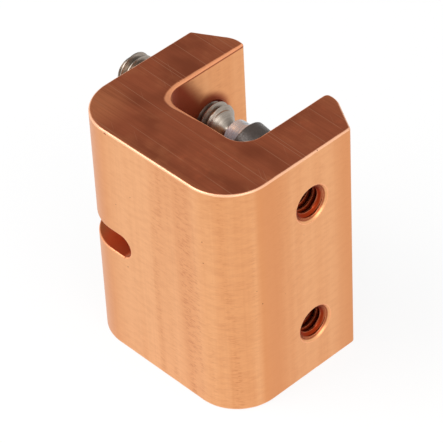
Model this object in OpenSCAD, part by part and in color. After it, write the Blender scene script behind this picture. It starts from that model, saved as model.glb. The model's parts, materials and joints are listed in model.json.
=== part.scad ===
// Beam grounding clamp: a C-shaped copper body with two swivel-foot clamping screws.
// The body stands on one sawn end. X runs from the screw arm to the tapped arm,
// Y from the spine towards the mouth of the throat, and Z along the extruded section.
// The origin is on the bottom face, at the middle of the spine.

/* [Body section] */
// Width of the throat between the two arms
throat_width = 20.6; // [17:0.1:26]
// Thickness of each arm
arm_thickness = 9.8; // [8.5:0.1:12]
// Thickness of the spine that joins the arms
spine_thickness = 13.5; // [11:0.1:16]
// Depth from the spine's outer face to the outer corner of each arm's end
arm_reach = 29.8; // [29:0.1:34]
// Angle at which each arm's end rises towards the throat
end_angle = 30; // [15:1:40]
// Radius of the arm tips at the mouth of the throat
tip_radius = 1.7; // [1.5:0.1:3]
// Radius of the spine's outer corners
corner_radius = 9; // [6:0.1:11]
// Radius of the throat's inner corners
throat_radius = 4.2; // [2:0.1:5]

/* [Body length] */
// Height of the body along the extruded section
body_height = 50.8; // [46:0.1:60]
// Bevel along the edges of both sawn ends
edge_break = 0.5; // [0.2:0.1:0.8]

/* [Relief slot] */
// Width of the slot that splits the screw arm
slot_width = 4.8; // [3:0.1:7]
// Depth of the slot, from the screw arm's outer face to its round end
slot_reach = 14.1; // [11:0.1:18]

/* [Tapped holes] */
// Outside diameter of the thread in the tapped arm's holes
lug_diameter = 6.35; // [5:0.05:8]
// Radial room between a screw and its tapped hole
thread_clearance = 0.05; // [0.02:0.01:0.1]
// Radial width of the countersink at the mouth of each tapped hole
countersink = 0.65; // [0.3:0.05:1]
// Distance between the tapped arm's two holes
hole_spacing = 28.3; // [22:0.1:34]
// Depth from the spine's outer face to the tapped arm's holes
lug_setback = 20; // [18:0.1:23]

/* [Clamping screws] */
// Outside diameter of the screws' thread
screw_diameter = 7.94; // [7:0.02:9]
// Distance between the two screws
screw_spacing = 26.4; // [23:0.1:32]
// Depth from the spine's outer face to the screws
screw_setback = 24.9; // [22:0.1:26]
// Length of the threaded shank
shank_length = 23.8; // [18:0.1:30]
// Length of thread that stands out of the screw arm into the throat
shank_advance = 2.6; // [1:0.1:5]
// Bevel at the two ends of the shank
shank_bevel = 0.5; // [0.2:0.05:0.8]
// Width across the flats of the hexagon socket
socket_flats = 4; // [3:0.1:4.6]
// Depth of the hexagon socket
socket_depth = 3.6; // [2:0.1:5]
// Length of the taper between the shank and the neck
taper_length = 2.6; // [1.5:0.1:4]
// Diameter of the neck behind the collar
neck_diameter = 3.3; // [2.6:0.1:3.6]
// Length of neck that shows between the taper and the collar
neck_gap = 0.8; // [0.4:0.1:1.5]
// Length of the neck inside the collar
neck_seat = 1.4; // [0.8:0.1:1.7]
// Diameter of the pin that carries the collar
pin_diameter = 2.2; // [1.6:0.1:2.4]
// Diameter of the pin's riveted head
rivet_diameter = 3.4; // [2.8:0.1:4]
// Thickness of the pin's riveted head
rivet_height = 0.7; // [0.4:0.05:0.9]
// Depth of the riveted head below the front of the ball
rivet_recess = 0.15; // [0.05:0.05:0.3]

/* [Swivel feet] */
// Outside diameter of the collar
collar_diameter = 6; // [5.4:0.1:6.4]
// Length of the collar from its back face to the middle of its ball
collar_length = 3.8; // [3.4:0.05:4.5]
// Step from the collar up to its ball
ball_step = 0.4; // [0.35:0.05:0.6]
// Distance from the middle of the ball to its flat front
ball_front = 1.35; // [1.2:0.05:1.7]
// Thickness of the pad around the ball
pad_wall = 0.75; // [0.6:0.05:1.2]
// Thickness of the pad in front of the ball
pad_floor = 0.6; // [0.4:0.05:1.2]
// Bevel around the pad's two rims
pad_bevel = 0.3; // [0.1:0.05:0.5]
// Angle at which the pad hangs down on its ball, where its lip meets the collar
pad_droop = 12; // [6:1:16]
// Radial room in the turning and swivelling fits of the foot
foot_clearance = 0.05; // [0.03:0.01:0.08]

/* [Hidden] */
$fn = 96;

copper = "#c97c52";
stainless = "#b9b4aa";
bright_steel = "#dadde0";
black_steel = "#2f2c2b";

// Overlap of a cut past the face that it opens
over = 1;
// Reach of a bevel's cutting wedge past the edge that it takes off
wedge = 0.6;
// Length and angle by which neighbouring bevel cuts run on into each other
run_on = 0.6;
run_on_angle = 2;

// Main planes of the body
half_width = throat_width / 2 + arm_thickness;
spine_back = -spine_thickness / 2;
throat_floor = spine_thickness / 2;
end_corner = spine_back + arm_reach;
mid_height = body_height / 2;
upper_level = mid_height + screw_spacing / 2;
lower_level = mid_height - screw_spacing / 2;
lug_line = spine_back + lug_setback;
screw_line = spine_back + screw_setback;

// Round tip of an arm, measured inwards from the arm's outer face
tip_in = arm_thickness - tip_radius;
tip_centre = end_corner + tip_in * tan(end_angle) - tip_radius / cos(end_angle);
tip_touch_in = tip_in - tip_radius * sin(end_angle);
tip_touch = tip_centre + tip_radius * cos(end_angle);
end_length = tip_touch_in / cos(end_angle);
throat_mouth = tip_centre + tip_radius + over;

// Threads
screw_radius = screw_diameter / 2;

// Stations along a screw, from the screw arm towards the tapped arm
shank_end = -throat_width / 2 + shank_advance;
shank_start = shank_end - shank_length;
taper_end = shank_end + taper_length;
collar_back = taper_end + neck_gap;
neck_end = collar_back + neck_seat;
pivot = collar_back + collar_length;
ball_end = pivot + ball_front;
rivet_front = ball_end - rivet_recess;
rivet_back = rivet_front - rivet_height;

// Swivel foot, measured from the middle of its ball
collar_radius = collar_diameter / 2;
ball_radius = collar_radius + ball_step;
cup_radius = ball_radius + foot_clearance;
cup_floor = ball_radius * cos(acos(ball_front / ball_radius) - pad_droop) + foot_clearance;
pad_radius = cup_radius + pad_wall;
pad_front = cup_floor + pad_floor;
pad_lip = cup_radius * cos(asin((collar_radius + foot_clearance) / cup_radius) + pad_droop);

// Turns a shape that stands on Z so that it lies along X
module along_x() {
    rotate([0, 90, 0]) children();
}

// Bored hole for a thread of some diameter in one arm, with a countersink in the outer face
module tapped_hole(diameter, y, z, side) {
    inner = throat_width / 2 - over;
    radius = diameter / 2 + thread_clearance;
    translate([side > 0 ? inner : -half_width - over, y, z])
        along_x() cylinder(h = arm_thickness + 2 * over, r = radius);
    translate([side * half_width, y, z])
        rotate([0, side * 90, 0])
        translate([0, 0, -countersink])
        cylinder(h = countersink + over, r1 = radius, r2 = radius + countersink + over);
}

// One arm in plan, with its slanted end and round tip, standing on the positive side
module arm_plan() {
    polygon([
        [half_width, throat_floor],
        [half_width, end_corner],
        [half_width - tip_touch_in, tip_touch],
        [half_width - tip_in, tip_centre],
        [throat_width / 2, tip_centre],
        [throat_width / 2, throat_floor]
    ]);
    translate([half_width - tip_in, tip_centre]) circle(tip_radius);
}

// Spine in plan, with its round outer corners, up to the level of the throat's corners
module spine_plan() {
    shoulder = spine_back + corner_radius;
    top = throat_floor + throat_radius;
    translate([-half_width, shoulder]) square([2 * half_width, top - shoulder]);
    translate([-half_width + corner_radius, spine_back])
        square([2 * (half_width - corner_radius), corner_radius]);
    for (side = [-1, 1])
        translate([side * (half_width - corner_radius), shoulder]) circle(corner_radius);
}

// Throat in plan, with its round inner corners
module throat_plan() {
    corner = throat_floor + throat_radius;
    translate([-throat_width / 2, corner]) square([throat_width, throat_mouth - corner]);
    translate([-throat_width / 2 + throat_radius, throat_floor])
        square([throat_width - 2 * throat_radius, throat_radius]);
    for (side = [-1, 1])
        translate([side * (throat_width / 2 - throat_radius), corner]) circle(throat_radius);
}

// Extruded C section
module section() {
    difference() {
        union() {
            spine_plan();
            arm_plan();
            mirror([1, 0]) arm_plan();
        }
        throat_plan();
    }
}

// Cross-section of a bevel cut: outwards of a wall along X, upwards of a sawn end along Y
module bevel_wedge() {
    polygon([[-edge_break - wedge, wedge], [wedge, -edge_break - wedge], [wedge, wedge]]);
}

// Bevel cut along a straight wall that starts at a point and runs at an angle, with its solid on the left
module straight_bevel(start, angle, length) {
    translate(start) rotate([90, 0, angle + 90]) linear_extrude(length) mirror([1, 0]) bevel_wedge();
}

// Bevel cut around an outer corner
module outer_bevel(centre, radius, from, sweep) {
    translate(centre) rotate([0, 0, from])
        rotate_extrude(angle = sweep) translate([radius, 0]) bevel_wedge();
}

// Bevel cut around an inner corner, which runs on into the walls on both sides
module inner_bevel(centre, radius, from, sweep) {
    translate(centre) rotate([0, 0, from - run_on_angle])
        rotate_extrude(angle = sweep + 2 * run_on_angle)
        translate([radius, 0]) mirror([1, 0]) bevel_wedge();
}

// Bevel cuts along one arm and its half of the spine and throat, at the level of a sawn end
module half_rim() {
    shoulder = spine_back + corner_radius;
    corner = throat_floor + throat_radius;
    inside = throat_width / 2;
    outer_run = half_width - corner_radius;
    inner_run = inside - throat_radius;
    straight_bevel([-run_on, spine_back, 0], 0, outer_run + 2 * run_on);
    outer_bevel([outer_run, shoulder, 0], corner_radius, 270, 90);
    straight_bevel([half_width, shoulder - run_on, 0], 90, end_corner - shoulder + 2 * run_on);
    translate([half_width, end_corner, 0]) rotate([0, 0, 180 - end_angle])
        straight_bevel([-run_on, 0, 0], 0, end_length + 2 * run_on);
    outer_bevel([half_width - tip_in, tip_centre, 0], tip_radius, 90 - end_angle, 90 + end_angle);
    straight_bevel([inside, tip_centre + run_on, 0], 270, tip_centre - corner + run_on);
    inner_bevel([inner_run, corner, 0], throat_radius, 270, 90);
    straight_bevel([inner_run, throat_floor, 0], 180, inner_run + run_on);
}

// Bevel cuts around both sawn ends
module end_bevels() {
    for (end = [0, 1])
        translate([0, 0, end * body_height])
        mirror([0, 0, 1 - end]) {
            half_rim();
            mirror([1, 0, 0]) half_rim();
        }
}

// Slot with a full-round end that splits the screw arm from spine to tip
module relief_slot() {
    round_x = -half_width + slot_reach - slot_width / 2;
    run = throat_mouth - spine_back + 2 * over;
    translate([round_x, spine_back - over, mid_height])
        rotate([-90, 0, 0]) cylinder(h = run, r = slot_width / 2);
    translate([-half_width - over, spine_back - over, mid_height - slot_width / 2])
        cube([round_x + half_width + over, run, slot_width]);
}

// Copper body, extruded, sawn off, bored and slotted
module clamp_body() {
    color(copper)
    difference() {
        linear_extrude(body_height) section();
        end_bevels();
        relief_slot();
        for (end = [-1, 1]) {
            tapped_hole(lug_diameter, lug_line, mid_height + end * hole_spacing / 2, 1);
            tapped_hole(screw_diameter, screw_line, mid_height + end * screw_spacing / 2, -1);
        }
    }
}

// Moves a screw's pieces onto its axis at one level
module on_screw(level) {
    translate([0, screw_line, level]) children();
}

// Turns an outline about the screw's axis, with radius along its X and station along its Y
module turned() {
    along_x() rotate_extrude() children();
}

// Hollow of a bore in such an outline, from one station to another
module bore_outline(radius, from, to) {
    translate([-over, from]) square([radius + over, to - from]);
}

// Turned screw: socket end, shank, taper, neck, pin and riveted head
module clamp_screw() {
    neck_radius = neck_diameter / 2;
    pin_radius = pin_diameter / 2;
    rivet_radius = rivet_diameter / 2;
    bevel_radius = screw_radius - shank_bevel;
    socket_radius = socket_flats / 2 / cos(30);
    color(stainless)
    difference() {
        turned() polygon([
            [0, shank_start],
            [bevel_radius, shank_start],
            [screw_radius, shank_start + shank_bevel],
            [screw_radius, shank_end - shank_bevel],
            [bevel_radius, shank_end],
            [neck_radius, taper_end],
            [neck_radius, neck_end],
            [pin_radius, neck_end],
            [pin_radius, rivet_back],
            [rivet_radius, rivet_back],
            [rivet_radius, rivet_front],
            [0, rivet_front]
        ]);
        translate([shank_start - over, 0, 0])
            along_x() cylinder(h = socket_depth + over, r = socket_radius, $fn = 6);
    }
}

// Half outline of a ball that is cut flat in front
module ball_outline(radius, front) {
    intersection() {
        circle(radius);
        translate([0, -radius]) square([radius, radius + front]);
    }
}

// Bright collar that the screw turns in, with the ball that the pad swivels on
module swivel_collar() {
    color(bright_steel)
    turned() difference() {
        union() {
            translate([0, collar_back]) square([collar_radius, collar_length]);
            translate([0, pivot]) ball_outline(ball_radius, ball_front);
        }
        bore_outline(neck_diameter / 2 + foot_clearance, collar_back - over, neck_end);
        bore_outline(pin_diameter / 2 + foot_clearance, collar_back - over, ball_end + over);
        bore_outline(rivet_diameter / 2 + foot_clearance, rivet_back - foot_clearance, ball_end + over);
    }
}

// Black pad that hangs on the collar's ball
module pressure_pad() {
    rim = pad_radius - pad_bevel;
    color(black_steel)
    translate([pivot, 0, 0]) rotate([0, pad_droop, 0])
    turned() difference() {
        polygon([
            [0, -pad_lip],
            [rim, -pad_lip],
            [pad_radius, -pad_lip + pad_bevel],
            [pad_radius, pad_front - pad_bevel],
            [rim, pad_front],
            [0, pad_front]
        ]);
        ball_outline(cup_radius, cup_floor);
    }
}

module upper_clamp_screw() {
    on_screw(upper_level) clamp_screw();
}

module upper_swivel_collar() {
    on_screw(upper_level) swivel_collar();
}

module upper_pressure_pad() {
    on_screw(upper_level) pressure_pad();
}

module lower_clamp_screw() {
    on_screw(lower_level) clamp_screw();
}

module lower_swivel_collar() {
    on_screw(lower_level) swivel_collar();
}

module lower_pressure_pad() {
    on_screw(lower_level) pressure_pad();
}

clamp_body();
upper_clamp_screw();
upper_swivel_collar();
upper_pressure_pad();
lower_clamp_screw();
lower_swivel_collar();
lower_pressure_pad();
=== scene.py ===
"""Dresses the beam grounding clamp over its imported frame.

The copper body, the screw threads, the swivel feet and the studio are each built by a class of their own.
Lengths are in metres, along the frame's axes: X from the screw arm to the tapped arm, Y from the spine to
the mouth of the throat, Z up along the drawn section. The finishes count in millimetres.
"""
import json
import logging
import math
from collections.abc import Callable, Iterable, Iterator
from contextlib import contextmanager
from dataclasses import dataclass, field
from enum import Enum
from functools import cached_property, partial, reduce
from typing import Any, NamedTuple

import bmesh
import bpy
from mathutils import Matrix, Vector, noise


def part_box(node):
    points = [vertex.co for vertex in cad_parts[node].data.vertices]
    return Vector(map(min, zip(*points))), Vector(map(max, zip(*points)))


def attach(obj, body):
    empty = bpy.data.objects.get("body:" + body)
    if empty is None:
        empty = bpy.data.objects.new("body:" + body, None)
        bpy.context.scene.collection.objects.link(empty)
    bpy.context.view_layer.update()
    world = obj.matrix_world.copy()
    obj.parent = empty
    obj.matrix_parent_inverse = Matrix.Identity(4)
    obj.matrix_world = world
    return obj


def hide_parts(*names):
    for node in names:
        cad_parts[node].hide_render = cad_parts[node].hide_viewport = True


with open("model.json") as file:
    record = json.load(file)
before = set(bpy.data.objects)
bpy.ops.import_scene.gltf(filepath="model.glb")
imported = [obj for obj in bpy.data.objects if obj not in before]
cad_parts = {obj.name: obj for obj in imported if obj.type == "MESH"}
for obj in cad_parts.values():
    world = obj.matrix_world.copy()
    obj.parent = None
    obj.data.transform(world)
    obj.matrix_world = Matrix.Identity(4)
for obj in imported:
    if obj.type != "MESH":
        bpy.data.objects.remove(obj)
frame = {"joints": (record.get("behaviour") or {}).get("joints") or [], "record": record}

log = logging.getLogger("beam_clamp")
MM = 0.001
INCH_MM = 25.4
WELD, CLOSE, NEAR = 0.001 * MM, 0.01 * MM, 0.02 * MM
SHARP = 35
X_AXIS, Y_AXIS, Z_AXIS = Vector((1, 0, 0)), Vector((0, 1, 0)), Vector((0, 0, 1))
WHITE = (1.0, 1.0, 1.0, 1.0)
NUMBER_RESULTS = ("DISTANCE", "DOT_PRODUCT", "LENGTH")

Triple = tuple[float, float, float]
Colour = tuple[float, float, float, float]
Socket = bpy.types.NodeSocket
Tree = bpy.types.NodeTree
Material = bpy.types.Material
Piece = bpy.types.Object
Mesh = bmesh.types.BMesh
Vert = bmesh.types.BMVert
Edge = bmesh.types.BMEdge


class Level(Enum):
    """The two clamping screws, by the name that their bodies start with."""

    UPPER = "upper"
    LOWER = "lower"


class Arm(Enum):
    """The two arms of the body, by the side of the throat that they stand on."""

    SCREW = -1
    TAPPED = 1


def colour(code: str) -> Colour:
    """Turns a six-figure colour code into linear red, green, blue and alpha."""
    parts = (int(code[i:i + 2], 16) / 255 for i in (0, 2, 4))
    return (*(c / 12.92 if c <= 0.04045 else ((c + 0.055) / 1.055) ** 2.4 for c in parts), 1.0)


def unit(value: float) -> float:
    """Keeps a value between 0 and 1."""
    return min(1.0, max(0.0, value))


# Node trees


class Ramp(NamedTuple):
    """A smooth change from one level to another between two values."""

    low: float
    high: float
    start: float = 0.0
    end: float = 1.0


class Grain(NamedTuple):
    """Noise in cells per millimetre along each axis, the levels that it is cut at, and how much of it shows."""

    stretch: Triple
    low: float
    high: float
    detail: float = 3.0
    share: float = 1.0


class Scratches(NamedTuple):
    """Thin lines across a direction, the noise level that they break off at, and how much of them shows."""

    across: Triple
    width: float
    gap: float
    share: float


class Wear(NamedTuple):
    """How deep and in how small a pattern noise bites into a worn edge, and how much of the edge shows."""

    bite: float
    scale: float
    share: float


class Dots(NamedTuple):
    """Small pits, one to a cell, in the cells whose own value is above a level."""

    scale: float
    size: float
    above: float
    fade: float = 0.06


class Relief(NamedTuple):
    """How strong and how deep a bump is."""

    strength: float
    depth: float


@dataclass
class Graph:
    """Adds and joins the nodes of one node tree."""

    tree: Tree

    def add(self, kind: str, inputs: dict[str | int, Any] | None = None, **settings: Any) -> bpy.types.Node:
        """Adds a node.

        Args:
            kind: The node's type name, without its leading "ShaderNode".
            inputs: Values or sockets for the node's inputs, by name or index.
            **settings: Values for the node's own properties.

        Returns:
            The new node.
        """
        node = self.tree.nodes.new(kind if kind.startswith("NodeGroup") else f"ShaderNode{kind}")
        for name, value in settings.items():
            setattr(node, name, value)
        for name, value in (inputs or {}).items():
            if isinstance(value, Socket):
                self.tree.links.new(value, node.inputs[name])
            else:
                node.inputs[name].default_value = value
        return node

    def math(self, operation: str, *values: Any, clamp: bool = False) -> Socket:
        """Adds a math node and returns its result."""
        return self.add("Math", dict(enumerate(values)), operation=operation, use_clamp=clamp).outputs[0]

    def times(self, *values: Any) -> Socket:
        """Returns the product of some values."""
        return reduce(partial(self.math, "MULTIPLY"), values)

    def most(self, *values: Any) -> Socket:
        """Returns the largest of some values."""
        return reduce(partial(self.math, "MAXIMUM"), values)

    def plus(self, start: Any, *terms: tuple[Any, float]) -> Socket:
        """Adds levels to a start, each by a weight of its own.

        Args:
            start: The value to start from.
            *terms: The levels and their weights.

        Returns:
            The sum.
        """
        for level, weight in terms:
            start = self.math("MULTIPLY_ADD", level, weight, start)
        return start

    def span(self, value: Any, low: Any, high: Any, start: Any = 0.0, end: Any = 1.0) -> Socket:
        """Maps a value from one span to another with smooth ends, and returns the result."""
        inputs = {"Value": value, 1: low, 2: high, 3: start, 4: end}
        return self.add("MapRange", inputs, interpolation_type="SMOOTHSTEP").outputs[0]

    def vector(self, operation: str, *values: Any) -> Socket:
        """Adds a vector math node and returns its result."""
        node = self.add("VectorMath", dict(enumerate(values)), operation=operation)
        return node.outputs["Value" if operation in NUMBER_RESULTS else "Vector"]

    def flat(self, first: Any, second: Any) -> Socket:
        """Returns a vector of two values."""
        return self.add("CombineXYZ", {0: first, 1: second}).outputs[0]

    def mix(self, factor: Any, first: Any, second: Any) -> Socket:
        """Mixes two colours and returns the result."""
        return self.add("Mix", {0: factor, 6: first, 7: second}, data_type="RGBA").outputs[2]

    def coat(self, base: Any, *layers: tuple[Any, float, Any]) -> Socket:
        """Lays colours over a base, one after another.

        Args:
            base: The colour underneath.
            *layers: The level of each layer, the share of it that shows, and its colour.

        Returns:
            The colour on top.
        """
        for level, share, tint in layers:
            base = self.mix(level if share == 1 else self.times(level, share), base, tint)
        return base


def new_group(name: str, output: str, **inputs: str) -> tuple[Graph, Any, Socket]:
    """Starts a node group that puts out one level.

    Args:
        name: The group's name.
        output: The name of its output.
        **inputs: The socket types of its inputs.

    Returns:
        The group's graph, its inputs and its output.
    """
    group = bpy.data.node_groups.new(name, "ShaderNodeTree")
    for label, kind in inputs.items():
        group.interface.new_socket(name=label, in_out="INPUT", socket_type=f"NodeSocket{kind}")
    group.interface.new_socket(name=output, in_out="OUTPUT", socket_type="NodeSocketFloat")
    graph = Graph(group)
    return graph, graph.add("NodeGroupInput").outputs, graph.add("NodeGroupOutput").inputs[0]


def grain_group() -> Tree:
    """Makes the group that draws grain: noise, stretched along the axes, between a low and a high level.

    Returns:
        The group.
    """
    graph, takes, output = new_group(
        "stretched_grain", "Grain", Place="Vector", Stretch="Vector", Detail="Float", Low="Float", High="Float"
    )
    place = graph.vector("MULTIPLY", takes["Place"], takes["Stretch"])
    cloud = graph.add("TexNoise", {"Vector": place, "Scale": 1.0, "Detail": takes["Detail"], "Roughness": 0.6})
    graph.tree.links.new(graph.span(cloud.outputs[0], takes["Low"], takes["High"]), output)
    return graph.tree


def scratch_group(patch: Triple = (0.09, 0.35, 0.2), fade: float = 0.2) -> Tree:
    """Makes the group that draws thin straight lines, unevenly spaced and broken up along their length.

    Args:
        patch: Cells per millimetre of the noise that breaks the lines up.
        fade: The change in that noise over which a line fades in.

    Returns:
        The group.
    """
    graph, takes, output = new_group(
        "thin_scratches", "Line", Place="Vector", Across="Vector", Width="Float", Gap="Float"
    )
    across = graph.vector("DOT_PRODUCT", takes["Place"], takes["Across"])
    cells = graph.add("TexVoronoi", {"W": across, "Scale": 1.0}, voronoi_dimensions="1D", feature="F1")
    line = graph.span(cells.outputs["Distance"], 0.0, takes["Width"], 1.0, 0.0)
    place = graph.vector("MULTIPLY", takes["Place"], patch)
    cloud = graph.add("TexNoise", {"Vector": place, "Scale": 1.0, "Detail": 2.0}).outputs[0]
    shown = graph.span(cloud, takes["Gap"], graph.math("ADD", takes["Gap"], fade))
    graph.tree.links.new(graph.times(line, shown), output)
    return graph.tree


def wear_group(bare: Ramp = Ramp(0.15, 0.85)) -> Tree:
    """Makes the group that bares an edge: the edge's own value, broken up by noise.

    Args:
        bare: The values between which an edge becomes bare.

    Returns:
        The group.
    """
    graph, takes, output = new_group(
        "worn_edge", "Worn", Place="Vector", Edge="Float", Bite="Float", Scale="Float"
    )
    inputs = {"Vector": takes["Place"], "Scale": takes["Scale"], "Detail": 4.0}
    cloud = graph.math("SUBTRACT", graph.add("TexNoise", inputs).outputs[0], 0.5)
    bitten = graph.times(takes["Edge"], graph.math("MULTIPLY_ADD", cloud, takes["Bite"], 1.0))
    graph.tree.links.new(graph.span(bitten, *bare), output)
    return graph.tree


@dataclass(frozen=True)
class Effects:
    """The node groups that the finishes share, each made once."""

    grain: Tree = field(default_factory=grain_group)
    scratches: Tree = field(default_factory=scratch_group)
    wear: Tree = field(default_factory=wear_group)


@dataclass
class Paint(Graph):
    """The graph of one material, with the effects that it shares with others."""

    made: Material
    effects: Effects

    @classmethod
    def start(cls, name: str, metallic: float, effects: Effects) -> "Paint":
        """Starts a material.

        Args:
            name: The material's name.
            metallic: How metallic its shader is all over.
            effects: The shared effects.

        Returns:
            The material's graph.
        """
        made = bpy.data.materials.new(name)
        made.use_nodes = True
        paint = cls(made.node_tree, made, effects)
        paint.shader.inputs["Metallic"].default_value = metallic
        return paint

    @property
    def shader(self) -> bpy.types.Node:
        """The material's shader."""
        return self.tree.nodes["Principled BSDF"]

    @cached_property
    def place(self) -> Socket:
        """The place on the object in millimetres."""
        metres = self.add("TexCoord").outputs["Object"]
        return self.add("VectorMath", {0: metres, "Scale": 1 / MM}, operation="SCALE").outputs[0]

    @cached_property
    def parts(self) -> Any:
        """The sockets of the place's X, Y and Z."""
        return self.add("SeparateXYZ", {0: self.place}).outputs

    @property
    def x(self) -> Socket:
        """How far a place is from the screw arm towards the tapped arm."""
        return self.parts["X"]

    @property
    def y(self) -> Socket:
        """How far a place is from the spine towards the mouth."""
        return self.parts["Y"]

    @property
    def aside(self) -> Socket:
        """How far a place is from the middle of the throat, on either side."""
        return self.math("ABSOLUTE", self.x)

    def attribute(self, name: str) -> Socket:
        """Reads one of the mesh's own values."""
        return self.add("Attribute", attribute_name=name).outputs["Fac"]

    def effect(self, group: Tree, **inputs: Any) -> Socket:
        """Adds a shared effect and returns its level."""
        return self.add("Group", {"Place": self.place, **inputs}, node_tree=group).outputs[0]

    def grain(self, kind: Grain) -> Socket:
        """Adds stretched grain and returns its level."""
        levels = {"Low": kind.low, "High": kind.high, "Detail": kind.detail}
        return self.effect(self.effects.grain, Stretch=kind.stretch, **levels)

    def lines(self, kind: Scratches) -> Socket:
        """Adds thin scratches and returns their level."""
        return self.effect(self.effects.scratches, Across=kind.across, Width=kind.width, Gap=kind.gap)

    def worn(self, kind: Wear) -> Socket:
        """Adds wear on the mesh's rim and returns its level."""
        return self.effect(self.effects.wear, Edge=self.attribute("rim"), Bite=kind.bite, Scale=kind.scale)

    def dots(self, kind: Dots) -> Socket:
        """Adds small pits.

        Args:
            kind: Their size, and how many there are.

        Returns:
            Their level.
        """
        cells = self.add("TexVoronoi", {"Vector": self.place, "Scale": kind.scale}, feature="F1").outputs
        near = self.span(cells["Distance"], kind.size, kind.size + kind.fade, 1.0, 0.0)
        own = self.add("SeparateColor", {0: cells["Color"]}).outputs[0]
        return self.times(near, self.math("GREATER_THAN", own, kind.above))

    def finish(self, base: Socket, rough: Socket, height: Socket, relief: Relief) -> Material:
        """Joins the colour, the roughness and a bump to the shader.

        Args:
            base: The colour.
            rough: The roughness.
            height: The height of the bump.
            relief: Its strength and depth.

        Returns:
            The finished material.
        """
        bump = self.add("Bump", {"Strength": relief.strength, "Distance": relief.depth, "Height": height})
        for name, socket in (("Base Color", base), ("Roughness", rough), ("Normal", bump.outputs[0])):
            self.tree.links.new(socket, self.shader.inputs[name])
        return self.made


# Finishes


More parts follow.
